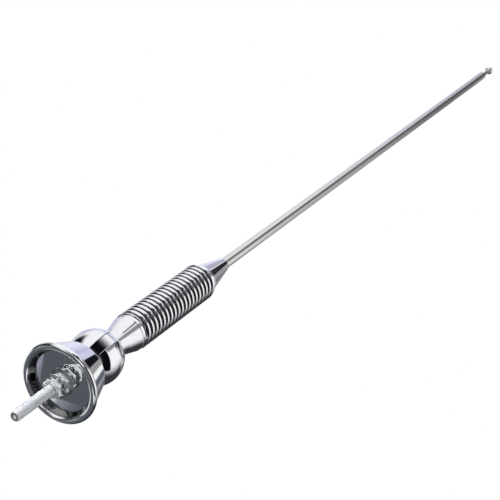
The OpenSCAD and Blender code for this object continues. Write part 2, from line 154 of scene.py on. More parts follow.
class AerialBallSettings(bpy.types.PropertyGroup):
    """Slotted ball and the tongue of the foot"""

    slot_half: length("Half slot", "Half the width of the slot", 0.00285)
    tongue_half: length("Half tongue", "Half the thickness of the tongue", 0.0027)
    tongue_radius: length("Tongue radius", "Radius of the tongue's round edge", 0.0126)
    edge_break: length("Edge break", "Width of the broken edges", 0.00025)
    hub_radius: length("Hub radius", "Radius of the hub under the ball", 0.0078)
    hub_height: length("Hub height", "Height of the hub's lower end", 0.007)
    screw_hole: length("Screw hole", "Radius of the screw's hole", 0.00255)
    head_hole: length("Head hole", "Radius of the countersink", 0.00405)
    head_depth: length("Head depth", "Distance of the countersink's floor from the middle", 0.01161)
    blind_depth: length("Blind end", "Distance of the blind end from the middle", 0.0098)
    neck_radius: length("Neck radius", "Radius of the neck above the ball", 0.0066)
    neck_gap: length("Neck gap", "Space between the ball and the neck", 0.00038)
    cone_low: length("Cone foot", "Height at which the neck starts to widen", 0.045)
    cone_high: length("Cone head", "Height at which the cone meets the collar", 0.0534)
    collar_radius: length("Collar radius", "Radius of the collar", 0.0089)
    collar_top: length("Collar top", "Height of the face under the spring", 0.05595)
    spigot_radius: length("Spigot radius", "Radius of the spigot inside the spring", 0.0061)
    spigot_length: length("Spigot length", "Length of the spigot inside the spring", 0.0085)


class AerialSpringSettings(bpy.types.PropertyGroup):
    """Close-wound spring and the braided lead inside it"""

    turns: IntProperty(name="Turns", description="Number of turns", default=19, min=2)
    wire: length("Wire", "Diameter of the wire", 0.00315)
    pitch: length("Pitch", "Height of one turn", 0.00325)
    ground: number("Ground share", "Share of the wire ground off the ends", 0.5)
    braid_strands: IntProperty(name="Strands", description="Bundles of wire round the braid", default=12)
    braid_lay: length("Braid lay", "Length of one turn of a bundle", 0.007)


class AerialFerruleSettings(bpy.types.PropertyGroup):
    """Flanged plug and cone under the mast"""

    flange_radius: length("Flange radius", "Radius of the flange above the spring", 0.00875)
    flange_low: length("Flange foot", "Height of the flange's lower face", 0.11775)
    groove_low: length("Groove foot", "Height at which the groove starts", 0.1194)
    groove_radius: length("Groove radius", "Radius at the bottom of the groove", 0.007)
    ring_low: length("Ring foot", "Height of the lower face of the cone's ring", 0.12)
    ring_radius: length("Ring radius", "Radius of the cone's ring", 0.0081)
    cone_low: length("Cone foot", "Height at which the cone starts", 0.1209)
    cone_radius: length("Cone radius", "Radius of the cone's foot", 0.0078)
    cone_top: length("Cone top", "Height of the cone's upper end", 0.1424)
    top_radius: length("Top radius", "Radius of the cone's upper end", 0.00365)
    boss_radius: length("Boss radius", "Radius of the boss inside the cone", 0.004)
    boss_length: length("Boss length", "Length of the boss inside the cone", 0.0065)
    bevel: length("Bevel", "Bevel at the cone's upper end", 0.0005)


class AerialMastSettings(bpy.types.PropertyGroup):
    """Two tubes, rod and tip ball"""

    wall: length("Wall", "Wall of each tube", 0.00035)
    roll: length("Rolled end", "Length of each tube's rolled-in end", 0.0014)
    run_gap: length("Running gap", "Space between a rolled end and the section in it", 0.00004)
    rod_end: length("Rod end", "Bevel at the ends of the rod", 0.0002)


class AerialStudSettings(bpy.types.PropertyGroup):
    """Thread of the mounting stud"""

    radius: length("Stud radius", "Outer radius of the thread", 0.0025)
    pitch: length("Pitch", "Pitch of the thread", 0.0008)
    depth: length("Thread depth", "Depth of the thread", 0.00046)
    chamfer: length("Chamfer", "Chamfer at the stud's end", 0.0006)
    dimple: length("Dimple", "Radius of the centre mark in the end", 0.0009)
    shank_low: length("Shank foot", "Height at which the thicker end starts", 0.0002)


class AerialFinishSettings(bpy.types.PropertyGroup):
    """Colours of the metals"""

    chrome: colour("Chrome", "Bright chrome plate", (0.90, 0.905, 0.93))
    dark_plate: colour("Dark plate", "Darker plate inside the rim", (0.80, 0.82, 0.82))
    zinc: colour("Zinc", "Zinc-plated steel of stud, nuts and washers", (0.86, 0.87, 0.88))
    stainless: colour("Stainless", "Polished stainless steel of the mast", (0.78, 0.76, 0.73))
    brass: colour("Brass", "Contact sleeves", (0.72, 0.54, 0.24))
    copper: colour("Copper", "Braided lead", (0.72, 0.38, 0.22))


SETTINGS = {
    "aerial_stage": AerialStageSettings,
    "aerial_bell": AerialBellSettings,
    "aerial_ball": AerialBallSettings,
    "aerial_spring": AerialSpringSettings,
    "aerial_ferrule": AerialFerruleSettings,
    "aerial_mast": AerialMastSettings,
    "aerial_stud": AerialStudSettings,
    "aerial_finish": AerialFinishSettings,
}


# Shader expressions


def operation(kind, swap=False):
    """A method that puts a Math node of that kind behind a Flow."""
    return lambda flow, *rest: flow.math(kind, *rest, swap=swap)


class Flow:
    """One output of a node. Sums, products and so on of outputs and numbers add Math nodes."""

    def __init__(self, sheet, socket):
        self.sheet = sheet
        self.socket = socket

    def math(self, operation, *rest, swap=False):
        operands = (*rest, self) if swap else (self, *rest)
        return self.sheet.node("ShaderNodeMath", {"operation": operation}, dict(enumerate(operands)))

    __add__ = __radd__ = operation("ADD")
    __sub__ = operation("SUBTRACT")
    __rsub__ = operation("SUBTRACT", swap=True)
    __mul__ = __rmul__ = operation("MULTIPLY")
    __pow__ = operation("POWER")
    __abs__ = operation("ABSOLUTE")
    __gt__ = operation("GREATER_THAN")

    def ramp(self, low, high, start=0.0, end=1.0):
        """start below low, end above high, and an S-shaped step between."""
        return self.sheet.node(
            "ShaderNodeMapRange", {"interpolation_type": "SMOOTHSTEP"},
            {0: self, 1: low, 2: high, 3: start, 4: end},
        )


class NodeSheet:
    """The node tree of a material or of the world, filled by expressions."""

    def __init__(self, owner):
        owner.use_nodes = True
        self.tree = owner.node_tree
        self.tree.nodes.clear()

    def node(self, kind, settings=None, inputs=None, output=0):
        """Adds a node, sets its own settings first and then its sockets, and gives one output."""
        node = self.tree.nodes.new(kind)
        for key, value in (settings or {}).items():
            setattr(node, key, value)
        for key, value in (inputs or {}).items():
            if isinstance(value, Flow):
                self.tree.links.new(value.socket, node.inputs[key])
            else:
                node.inputs[key].default_value = value
        return Flow(self, node.outputs[output])

    def place(self):
        """Object coordinates, in metres, as a vector."""
        return self.node("ShaderNodeTexCoord", output="Object")

    def split(self, vector):
        """The three parts of a vector."""
        first = self.node("ShaderNodeSeparateXYZ", inputs={0: vector})
        return [Flow(self, out) for out in first.socket.node.outputs]

    def noise(self, vector, scale, detail=2.0, roughness=0.5):
        return self.node(
            "ShaderNodeTexNoise", {"normalize": True},
            {"Vector": vector, "Scale": scale, "Detail": detail, "Roughness": roughness},
        )

    def grain(self, vector, scale, detail):
        """Noise with a scale of its own along each axis."""
        stretched = self.node("ShaderNodeVectorMath", {"operation": "MULTIPLY"}, {0: vector, 1: scale})
        return self.noise(stretched, 1.0, detail)

    def blend(self, share, first, second):
        """first where share is 0, second where it is 1, for colours."""
        return self.node("ShaderNodeMix", {"data_type": "RGBA"}, {0: share, 6: first, 7: second}, output=2)

    def bump(self, height, distance):
        """Height in shares of distance, in metres, as a normal."""
        return self.node("ShaderNodeBump", inputs={"Strength": 1.0, "Distance": distance, "Height": height})

    def metal(self, base, roughness, normal, **constants):
        """Principled metal to the material's output."""
        inputs = {"Base Color": base, "Metallic": 1.0, "Roughness": roughness, "Normal": normal, **constants}
        self.end(self.node("ShaderNodeBsdfPrincipled", inputs=inputs, output="BSDF"))

    def end(self, shader, kind="ShaderNodeOutputMaterial"):
        """Joins a shader to the output."""
        out = self.tree.nodes.new(kind)
        self.tree.links.new(shader.socket, out.inputs["Surface"])


def rgba(shade, factor=1.0):
    """A colour of three numbers, made lighter or darker, with a fourth for the socket."""
    return (*[min(1.0, part * factor) for part in shade], 1.0)


def material(name):
    """An empty material and its node sheet."""
    made = bpy.data.materials.new(name)
    return made, NodeSheet(made)


def plated(name, shade, base_roughness=0.035, waviness=0.000004, pocket=None):
    """Plate over polished metal: slow waves of hand polishing, hazy clouds, hairlines and specks of dust.
    Inside a pocket, given by its radius and height, the plate is thin and painted shade darkens it."""
    made, sheet = material(name)
    place = sheet.place()
    waves = sheet.noise(place, 130.0, 1.0)
    clouds = sheet.noise(place, 420.0, 4.0, 0.6)
    hairs = sheet.grain(place, (5200.0, 900.0, 700.0), 2.0)
    specks = sheet.noise(place, 2600.0, 2.0).ramp(0.70, 0.78)
    base = sheet.blend(clouds.ramp(0.35, 0.75), rgba(shade), rgba(shade, 0.95))
    base = sheet.blend(specks * 0.35, base, rgba(shade, 0.72))
    if pocket:
        x, y, z = sheet.split(place)
        radius, height = pocket
        fade = 0.0003
        # Painted shade: inside the pocket the colour falls to a quarter
        inside = ((x * x + y * y) ** 0.5).ramp(radius, radius + fade, 1.0, 0.0)
        inside = inside * z.ramp(height, height + fade, 1.0, 0.0)
        base = sheet.blend(inside, base, rgba(shade, 0.25))
    roughness = base_roughness + clouds.ramp(0.4, 0.8) * 0.03 + hairs.ramp(0.62, 0.75) * 0.05 + specks * 0.2
    normal = sheet.bump(waves + hairs * 0.03 + specks * 0.05, waviness)
    sheet.metal(base, roughness, normal)
    return made


def wound_wire(name, shade):
    """Plated wire, read from the UV map: bright on the crests, and dark between turns, where the plate is
    thin and painted shade darkens the creases.
    """
    made, sheet = material(name)
    place = sheet.place()
    along, round_wire, _ = sheet.split(sheet.node("ShaderNodeUVMap", {"uv_map": "lay"}))
    crest = (round_wire * (2 * pi)).math("COSINE")
    patches = sheet.noise(place, 900.0, 3.0)
    lay = sheet.node("ShaderNodeCombineXYZ", inputs={0: along * 9.0, 1: round_wire * 60.0})
    drawn = sheet.noise(lay, 1.0, 2.0)
    # Painted shade: the base falls nearly to black in the creases between turns
    bright = (crest + (patches - 0.5) * 0.1).ramp(0.64, 0.90)
    base = sheet.blend(bright, rgba(shade, 0.05), rgba(shade))
    base = sheet.blend(drawn.ramp(0.5, 0.8) * 0.2, base, rgba(shade, 0.75))
    roughness = 0.30 - bright * 0.24 + drawn.ramp(0.55, 0.8) * 0.06
    sheet.metal(base, roughness, sheet.bump(patches + drawn * 0.3, 0.000006))
    return made


def zinc_plated(name, shade, seams, satin, metallic):
    """Zinc over rolled steel: cloudy coat with a faint bluish film and fine pits, shiny where satin is low.
    Painted shade darkens the seams, given as heights, where one washer or nut lies on the next."""
    made, sheet = material(name)
    place = sheet.place()
    clouds = sheet.noise(place, 350.0, 3.0)
    pits = sheet.noise(place, 5200.0, 2.0)
    film = sheet.blend(clouds.ramp(0.35, 0.7), rgba(shade), (0.70, 0.74, 0.80, 1.0))
    base = sheet.blend(pits.ramp(0.55, 0.75) * 0.2, film, rgba(shade, 0.85))
    height = sheet.split(place)[2]
    # Painted shade: a dark band along each seam
    for seam in seams:
        seam_shade = abs(height - seam).ramp(0.00003, 0.00012, 0.8, 0.0)
        base = sheet.blend(seam_shade, base, rgba(shade, 0.06))
    sheet.metal(base, satin + clouds * 0.06, sheet.bump(pits, 0.0000005), Metallic=metallic)
    return made


def drawn_tube(name, shade):
    """Stainless tube, drawn and polished: fine lines along the tube and slightly warmer streaks."""
    made, sheet = material(name)
    place = sheet.place()
    lines = sheet.grain(place, (5200.0, 5200.0, 45.0), 3.0)
    streaks = sheet.grain(place, (1100.0, 1100.0, 14.0), 2.0)
    rubs = sheet.grain(place, (500.0, 500.0, 900.0), 3.0)
    base = sheet.blend(streaks.ramp(0.3, 0.75), rgba(shade), rgba(shade, 0.86))
    roughness = 0.11 + lines * 0.08 + rubs.ramp(0.55, 0.8) * 0.06
    sheet.metal(base, roughness, sheet.bump(lines, 0.000003))
    return made


def spring_brass(name, shade):
    """Rolled brass strip with rubbed tracks along the mast."""
    made, sheet = material(name)
    place = sheet.place()
    tracks = sheet.grain(place, (2600.0, 2600.0, 120.0), 3.0)
    tarnish = sheet.noise(place, 500.0, 4.0)
    base = sheet.blend(tarnish.ramp(0.4, 0.8), rgba(shade), rgba(shade, 0.6))
    sheet.metal(base, 0.2 + tracks * 0.2, sheet.bump(tracks, 0.00001))
    return made


def braided_copper(name, shade, strands):
    """Bundles of fine wire that cross both ways round the lead, read from the lead's own UV map."""
    made, sheet = material(name)
    around, along, _ = sheet.split(sheet.node("ShaderNodeUVMap", {"uv_map": "lay"}))
    left = abs((around + along).math("FRACT") - 0.5)
    right = abs((around - along).math("FRACT") - 0.5)
    over = (around * 2.0).math("FLOOR").math("MODULO", 2.0)
    bundle = left * over + right * (1.0 - over)
    wires = ((around + along) * (pi * 10)).math("SINE") * 0.5 + 0.5
    base = sheet.blend(bundle.ramp(0.05, 0.45), rgba(shade, 0.35), rgba(shade, 1.15))
    sheet.metal(base, 0.32 + wires * 0.12, sheet.bump(bundle + wires * 0.15, 0.0001))
    return made


# Surfaces


def straight(first, last, steps=6):
    """Points on a line, crowded towards both ends: share = (1 - cos(pi s)) / 2."""
    share = (1 - np.cos(np.linspace(0, pi, steps + 1)))[:, None] / 2
    return np.asarray(first) * (1 - share) + np.asarray(last) * share


def arc(centre, radius, start, end, steps=12):
    """Points on a circle: centre + radius (cos t, sin t), with t from start to end in degrees."""
    t = np.radians(np.linspace(start, end, steps + 1))
    return np.column_stack([centre[0] + radius * np.cos(t), centre[1] + radius * np.sin(t)])


def outline(*parts):
    """Joins points, lines and arcs, given as (radius, height), into one line of corners."""
    corners = np.concatenate([np.atleast_2d(part) for part in parts])
    keep = np.r_[True, np.hypot(*np.diff(corners, axis=0).T) > 1e-8]
    return corners[keep]


def runs(*route):
    """Straight runs from corner to corner, with the number of steps of each run between its two corners."""
    starts = range(0, len(route) - 2, 2)
    return outline(*[straight(route[i], route[i + 2], route[i + 1]) for i in starts])


def direction(first, first_radius, second, second_radius, side):
    """Angle of the outer normal of the line that touches two circles, in degrees."""
    step = np.subtract(second, first)
    lean = np.arctan2(step[1], step[0])
    return np.degrees(lean + side * np.arccos((first_radius - second_radius) / np.hypot(*step)))


def turned(corners, segments, axis="Z", height=0.0, relief=None):
    """Surface of revolution. (radius, h) goes to (r cos t, r sin t, h), or about X to
    (h, r cos t, height + r sin t). relief(t, h, r) is taken off the radius. The outline runs round its solid,
    and its ends lie on the axis or meet."""
    across, up = np.asarray(corners, float).T
    if np.sum(across * np.roll(up, -1) - np.roll(across, -1) * up) < 0:
        across, up = across[::-1], up[::-1]
    t = np.linspace(0, 2 * pi, segments, endpoint=False)
    h, turn = np.meshgrid(up, t, indexing="ij")
    r = np.repeat(across[:, None], segments, axis=1)
    if relief is not None:
        r = np.maximum(r - relief(turn, h, r), 0.0)
    if axis == "Z":
        return np.stack([r * np.cos(turn), r * np.sin(turn), h], axis=-1)
    return np.stack([h, r * np.cos(turn), height + r * np.sin(turn)], axis=-1)


def skin(points):
    """Vertices and faces of a grid of points that is closed along its second direction."""
    rows, columns = points.shape[:2]
    row, column = np.meshgrid(np.arange(rows - 1), np.arange(columns), indexing="ij")
    after = (column + 1) % columns
    a, b = row * columns + column, row * columns + after
    quads = np.stack([a, b, b + columns, a + columns], axis=-1).reshape(-1, 4)
    return points.reshape(-1, 3), quads


def added(name, data):
    """A new object of the scene."""
    made = bpy.data.objects.new(name, data)
    bpy.context.scene.collection.objects.link(made)
    return made


def piece(name, grids, coat, sharp=35.0, uv=None):
    """Closed grids of points as one mesh object. Seams and poles merge. Edges over the angle are sharp."""
    points, faces, start = [], [], 0
    for grid in grids:
        corners, quads = skin(grid)
        points.append(corners)
        faces.append(quads + start)
        start += len(corners)
    points, faces = np.concatenate(points), np.concatenate(faces)
    mesh = bpy.data.meshes.new(name)
    mesh.from_pydata(points, [], faces)
    if uv is not None:
        layer = mesh.uv_layers.new(name="lay")
        layer.data.foreach_set("uv", uv(points, faces).reshape(-1))
    work = bmesh.new()
    work.from_mesh(mesh)
    bmesh.ops.remove_doubles(work, verts=work.verts, dist=2e-7)
    bmesh.ops.dissolve_degenerate(work, edges=work.edges, dist=1e-8)
    work.to_mesh(mesh)
    work.free()
    mesh.polygons.foreach_set("use_smooth", np.ones(len(mesh.polygons), bool))
    mesh.set_sharp_from_angle(angle=radians(sharp))
    mesh.materials.append(coat)
    return added(name, mesh)


def dress(made, body, slot, *nodes):
    """The piece rides on its body and stands for its CAD nodes."""
    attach(made, body)
    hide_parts(*nodes)
    return made


def paint(node, coat):
    """Gives a CAD node its finish."""
    mesh = frame["nodes"][node].data
    mesh.materials.clear()
    mesh.materials.append(coat)


def finish(name, make, shade, *rest):
    """The finish of that name. It is made the first time, in the colour of that name in the settings."""
    colours = bpy.context.scene.aerial_finish
    return bpy.data.materials.get(name) or make(name, getattr(colours, shade), *rest)


def chrome():
    return finish("bright_chrome", plated, "chrome")


def zinc():
    # Heights of the seams in the stack, where the zinc finish paints shade
    seams = sorted({round(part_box(node)[1].z, 5) for node in STACK})
    return finish("zinc_plate", zinc_plated, "zinc", seams, 0.06, 0.66)


def stainless():
    return finish("drawn_stainless", drawn_tube, "stainless")


# Pieces


def bell_outline(s):
    """Outline of the bell in radius and height: land, bead, flank, shoulder, dome, lip, seat and pocket."""
    seat_gap, bead_share, hole_length, ledge = 0.00008, 0.75, 0.001, 0.0012
    half = s.rim_width / 2
    rim = (s.rim_radius - half, sqrt(half**2 - (s.rim_land / 2) ** 2))
    foot = (s.rim_radius - s.flank_step, rim[1] + half * bead_share)
    shoulder = (s.shoulder_reach, s.shoulder_height)
    seat = BALL_RADIUS + seat_gap
    lip = (s.lip_reach, BALL_HEIGHT - sqrt((seat + s.lip_round) ** 2 - s.lip_reach**2))
    flank = direction(shoulder, s.shoulder_radius, foot, 0.0, 1)
    dome = direction(shoulder, s.shoulder_radius, lip, s.lip_round, -1)
    flank_end = arc(shoulder, s.shoulder_radius, flank, dome, 40)
    inward = np.degrees(np.arctan2(BALL_HEIGHT - lip[1], -lip[0]))
    seat_low = -sqrt(seat**2 - s.hub_hole**2)
    seat_start = np.degrees(np.arctan2(lip[1] - BALL_HEIGHT, lip[0]))
    seat_end = np.degrees(np.arctan2(seat_low, s.hub_hole))
    land = -np.degrees(np.arccos(s.rim_land / 2 / half))
    rise = foot[1] - rim[1]
    bead_end = np.degrees(np.arctan2(rise, sqrt(half**2 - rise**2)))
    bead_foot = (rim[0] + half * cos(radians(bead_end)), foot[1])
    dome_end = np.add(lip, s.lip_round * np.array([cos(radians(dome)), sin(radians(dome))]))
    hole_top = BALL_HEIGHT + seat_low
    plate_top = s.plate_height + s.plate_thickness
    return outline(
        arc(rim, half, -180, -180 - land, 20),
        arc(rim, half, land, bead_end, 40),
        straight(bead_foot, foot, 3),
        straight(foot, flank_end[0], 14),
        flank_end,
        straight(flank_end[-1], dome_end, 10),
        arc(lip, s.lip_round, dome, inward, 16),
        arc((0.0, BALL_HEIGHT), seat, seat_start, seat_end, 12),
        runs((s.hub_hole, hole_top), 2, (s.hub_hole, hole_top - hole_length)),
        (s.shoulder_reach + s.shoulder_radius - s.wall, s.shoulder_height),
        (s.plate_radius - ledge, plate_top), (s.plate_radius, plate_top),
        runs((s.plate_radius, s.plate_height), 6, (s.rim_radius - s.rim_width, rim[1])),
    )


class AERIAL_OT_bell(bpy.types.Operator):
    """Turn the bell and finish the plate inside its rim"""

    bl_idname = "aerial.bell"
    bl_label = "Bell and plate"

    def execute(self, context):
        s = context.scene.aerial_bell
        corners = bell_outline(s)
        # Below the plate and inside the rim, the bell's chrome gets painted shade
        pocket = (s.rim_radius - s.rim_width, s.plate_height)
        coat = finish("bell_chrome", plated, "chrome", 0.035, 0.000004, pocket)
        bell = piece("bell", [turned(outline(corners, corners[:1]), 256)], coat, sharp=40.0)
        dress(bell, "base", "chrome", "base_cup")
        paint("base_plate", finish("dark_plate", plated, "dark_plate", 0.02, 0.000001))
        return {"FINISHED"}


class AERIAL_OT_ball(bpy.types.Operator):
    """Turn both cheeks of the ball about the pivot's axis, with the hub below them"""

    bl_idname = "aerial.ball"
    bl_label = "Slotted ball"

    def execute(self, context):
        s = context.scene.aerial_ball
        mouth = (s.screw_hole, s.slot_half)
        edge_share = 1.2
        edge = (BALL_RADIUS - s.edge_break * edge_share, s.slot_half)
        start = np.degrees(np.arcsin((s.slot_half + s.edge_break) / BALL_RADIUS))
        round_face = arc((0.0, 0.0), BALL_RADIUS, start, 90.0, 64)
        blind = outline(
            runs((0.0, s.blind_depth), 1, (s.screw_hole, s.blind_depth), 2, mouth, 6, edge, 2, round_face[0]),
            round_face,
        )
        pocket = BALL_RADIUS * cos(np.arcsin(s.head_hole / BALL_RADIUS))
        head_face = arc((0.0, 0.0), BALL_RADIUS, start, np.degrees(np.arcsin(pocket / BALL_RADIUS)), 56)
        head_side = outline(
            runs(mouth, 6, edge, 2, head_face[0]), head_face, (s.head_hole, s.head_depth),
            (s.screw_hole, s.head_depth - s.head_hole + s.screw_hole), mouth,
        ) * (1, -1)
        sink, root_share = 0.0004, 0.9
        neck = BALL_HEIGHT - sqrt((BALL_RADIUS - sink) ** 2 - s.hub_radius**2)
        pole = BALL_HEIGHT - BALL_RADIUS
        hub = runs(
            (0.0, s.hub_height), 4, (s.hub_radius - BEVEL, s.hub_height), 4,
            (s.hub_radius, s.hub_height + BEVEL), 4, (s.hub_radius, neck), 4,
            (s.slot_half * root_share, pole), 4, (0.0, pole),
        )
        grids = [
            turned(blind, 224, "X", BALL_HEIGHT), turned(head_side, 224, "X", BALL_HEIGHT), turned(hub, 96),
        ]
        dress(piece("slotted_ball", grids, chrome()), "ball", "chrome", "ball_yoke")
        return {"FINISHED"}


class AERIAL_OT_foot(bpy.types.Operator):
    """Turn the tongue about the pivot's axis and the neck, cone, collar and spigot about the mast's"""

    bl_idname = "aerial.foot"
    bl_label = "Tilting foot"

    def execute(self, context):
        s = context.scene.aerial_ball
        bore_ease, washer_radius, washer_depth = 0.00001, 0.00405, 0.00049
        bore = s.screw_hole - bore_ease
        floor = s.tongue_half - washer_depth
        side = outline(
            (bore, 0.0),
            runs((bore, floor), 1, (washer_radius, floor), 1, (washer_radius, s.tongue_half), 6,
                 (s.tongue_radius - s.edge_break, s.tongue_half), 2,
                 (s.tongue_radius, s.tongue_half - s.edge_break)),
            (s.tongue_radius, 0.0),
        )
        tongue = outline(side, (side * (1, -1))[::-1])
        hollow = BALL_RADIUS + s.neck_gap
        edge = np.degrees(np.arccos(s.neck_radius / hollow))
        top = s.collar_top + s.spigot_length
        neck, collar, spigot = s.neck_radius, s.collar_radius, s.spigot_radius
        ease, ease_length = 0.00015, 0.002
        body = outline(
            arc((0.0, BALL_HEIGHT), hollow, 90.0, edge, 24),
            runs((neck, BALL_HEIGHT + hollow * sin(radians(edge))), 8, (neck, s.cone_low - ease_length), 3,
                 (neck + ease, s.cone_low), 14, (collar - ease, s.cone_high), 3,
                 (collar, s.cone_high + BEVEL), 8, (collar, s.collar_top - BEVEL), 2,
                 (collar - BEVEL, s.collar_top)),
            (spigot, s.collar_top), (spigot, top - SPIGOT_BEVEL), (spigot - SPIGOT_BEVEL, top),
            (LEAD_HOLE, top), (LEAD_HOLE, top - LEAD_DEPTH), (0.0, top - LEAD_DEPTH),
        )
        inset, corner = 0.0004, 0.0003
        half = neck - inset
        web_side = np.array([(s.tongue_half - corner, -half), (s.tongue_half, -half + corner),
                             (s.tongue_half, half - corner), (s.tongue_half - corner, half)])
        loop = np.concatenate([web_side, -web_side])
        web_low, web_high = BALL_HEIGHT + 0.008, 0.0437
        rings = ((0.0, web_low), (1.0, web_low), (1.0, web_high), (0.0, web_high))
        web = np.stack([np.column_stack([loop * share, np.full(len(loop), z)]) for share, z in rings])
        grids = [turned(tongue, 192, "X", BALL_HEIGHT), turned(body, 192), web]
        dress(piece("tilting_foot", grids, chrome()), "foot", "chrome", "swivel_foot")
        paint("pivot_washers", stainless())
        return {"FINISHED"}


class AERIAL_OT_spring(bpy.types.Operator):
    """Wind the close-wound spring and braid the lead inside it"""

    bl_idname = "aerial.spring"
    bl_label = "Flex spring"

    def execute(self, context):
        s = context.scene.aerial_spring
        wire = s.wire / 2
        low, high = SPRING_LOW.z, SPRING_HIGH.z
        sweep = (high - low + 2 * wire * s.ground) / s.pitch * 2 * pi
        steps, around = 72 * s.turns, 28
        # Helix: (R + w cos k) at angle -a, height low - ground + pitch a / 2 pi + w sin k, flat at both ends
        section = np.arange(around) * 2 * pi / around
        a, k = np.meshgrid(np.linspace(0, sweep, steps + 1), section, indexing="ij")
        r = SPRING_HIGH.x - wire + wire * np.cos(k)
        z = np.clip(low - wire * s.ground + s.pitch * a / (2 * pi) + wire * np.sin(k), low, high)
        rings = np.stack([r * np.cos(a), -r * np.sin(a), z], axis=-1)
        first, last = rings[:1].mean(axis=1, keepdims=True), rings[-1:].mean(axis=1, keepdims=True)
        closed = np.concatenate([np.repeat(first, around, 1), rings, np.repeat(last, around, 1)])[:, ::-1]

        def wire_map(points, faces):
            """Turns along the wire, and the place round it as a share of a turn from its outermost line."""
            row, column = faces // around, around - 1 - faces % around
            column = np.where((column == 0) & (column.max(axis=1, keepdims=True) > 1), around, column)
            return np.stack([row / steps * s.turns, column / around], axis=-1)

        wire_finish = finish("wound_wire", wound_wire, "chrome")
        spring = piece("flex_spring", [closed], wire_finish, sharp=50.0, uv=wire_map)
        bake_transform(spring)
        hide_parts("coil_spring")

        radius, bevel, rows, relief = LEAD_HIGH.x, 0.0001, 200, 0.00012
        levels = np.linspace(LEAD_LOW.z + bevel, LEAD_HIGH.z - bevel, rows)
        lead_outline = outline(
            (0.0, LEAD_LOW.z), (radius - bevel, LEAD_LOW.z), np.column_stack([np.full(rows, radius), levels]),
            (radius - bevel, LEAD_HIGH.z), (0.0, LEAD_HIGH.z),
        )

        def bundles(turn, h, r):
            """Crossing bundles stand out where sin(n t + 2 pi h / lay) and its mirror image are high."""
            lay = 2 * pi * s.braid_strands * h / s.braid_lay / 3
            across = s.braid_strands / 2 * turn
            woven = np.maximum(np.sin(across + lay), np.sin(across - lay))
            return np.where(r > radius * 0.9, relief * (1 - woven) / 2, 0.0)

        def lay_map(points, faces):
            """Bundles round the lead and lengths of lay along it, with each face on one side of the seam."""
            turn = np.arctan2(points[:, 1], points[:, 0])[faces] / (2 * pi)
            first = turn[:, :1]
            turn = np.where(turn < first - 0.5, turn + 1, np.where(turn > first + 0.5, turn - 1, turn))
            return np.stack([turn * s.braid_strands, points[:, 2][faces] / s.braid_lay * 4], axis=-1)

        copper = finish("braided_copper", braided_copper, "copper", s.braid_strands)
        grid = turned(lead_outline, 48, relief=bundles)
        lead = piece("braided_lead", [grid], copper, sharp=60.0, uv=lay_map)
        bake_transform(lead)
        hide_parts("inner_lead")
        return {"FINISHED"}


class AERIAL_OT_ferrule(bpy.types.Operator):
    """Turn the flanged plug and the cone that holds the mast"""

    bl_idname = "aerial.ferrule"
    bl_label = "Ferrule"

    def execute(self, context):
        s = context.scene.aerial_ferrule
        ball = context.scene.aerial_ball
        low = s.flange_low - ball.spigot_length
        spigot, flange = ball.spigot_radius, s.flange_radius
        boss_bevel, edge = 0.0004, 0.0002
        boss_top = s.ring_low + s.boss_length
        plug = outline(
            (0.0, low + LEAD_DEPTH), (LEAD_HOLE, low + LEAD_DEPTH), (LEAD_HOLE, low),
            (spigot - SPIGOT_BEVEL, low), (spigot, low + SPIGOT_BEVEL),
            runs((spigot, s.flange_low), 3, (flange - BEVEL, s.flange_low)),
            arc((flange - BEVEL, s.flange_low + BEVEL), BEVEL, -90, 0, 6),
            runs((flange, s.flange_low + BEVEL), 6, (flange, s.groove_low - BEVEL)),
            arc((flange - BEVEL, s.groove_low - BEVEL), BEVEL, 0, 90, 6),
            (s.groove_radius, s.groove_low), (s.groove_radius, s.ring_low),
            (s.boss_radius, s.ring_low), (s.boss_radius, boss_top - boss_bevel),
            (s.boss_radius - boss_bevel, boss_top), (0.0, boss_top),
        )
        dress(piece("spring_plug_turned", [turned(plug, 160)], chrome()), "mast", "chrome", "spring_plug")

        play = 0.00005
        ring, hole, bore = s.ring_radius, s.boss_radius + play, TUBE_HIGH.x + play
        cone = outline(
            (0.0, boss_top + play), (hole, boss_top + play),
            runs((hole, s.ring_low), 3, (ring - edge, s.ring_low)),
            arc((ring - edge, s.ring_low + edge), edge, -90, 0, 5),
            runs((ring, s.ring_low + edge), 4, (ring, s.cone_low - edge)),
            arc((ring - edge, s.cone_low - edge), edge, 0, 90, 5),
            runs((s.cone_radius, s.cone_low), 24, (s.top_radius, s.cone_top - s.bevel), 3,
                 (s.top_radius - s.bevel, s.cone_top)),
            (bore, s.cone_top), (bore, TUBE_LOW.z), (0.0, TUBE_LOW.z),
        )
        dress(piece("cone_ferrule", [turned(cone, 160)], chrome()), "mast", "chrome", "upper_ferrule")
        return {"FINISHED"}


def tube_outline(outer, low, high, exit_radius, s):
    """Wall of a tube whose upper end is rolled in to a smaller exit."""
    bore, rounding, lip = outer - s.wall, 0.00015, 0.0002
    return outline(
        runs((bore, low), 2, (outer, low), 12, (outer, high - s.roll), 6,
             (exit_radius + s.wall, high - rounding)),
        arc((exit_radius + s.wall - rounding, high - rounding), rounding, 0, 90, 5),
        (exit_radius, high), (exit_radius, high - lip), (bore, high - s.roll), (bore, low),
    )


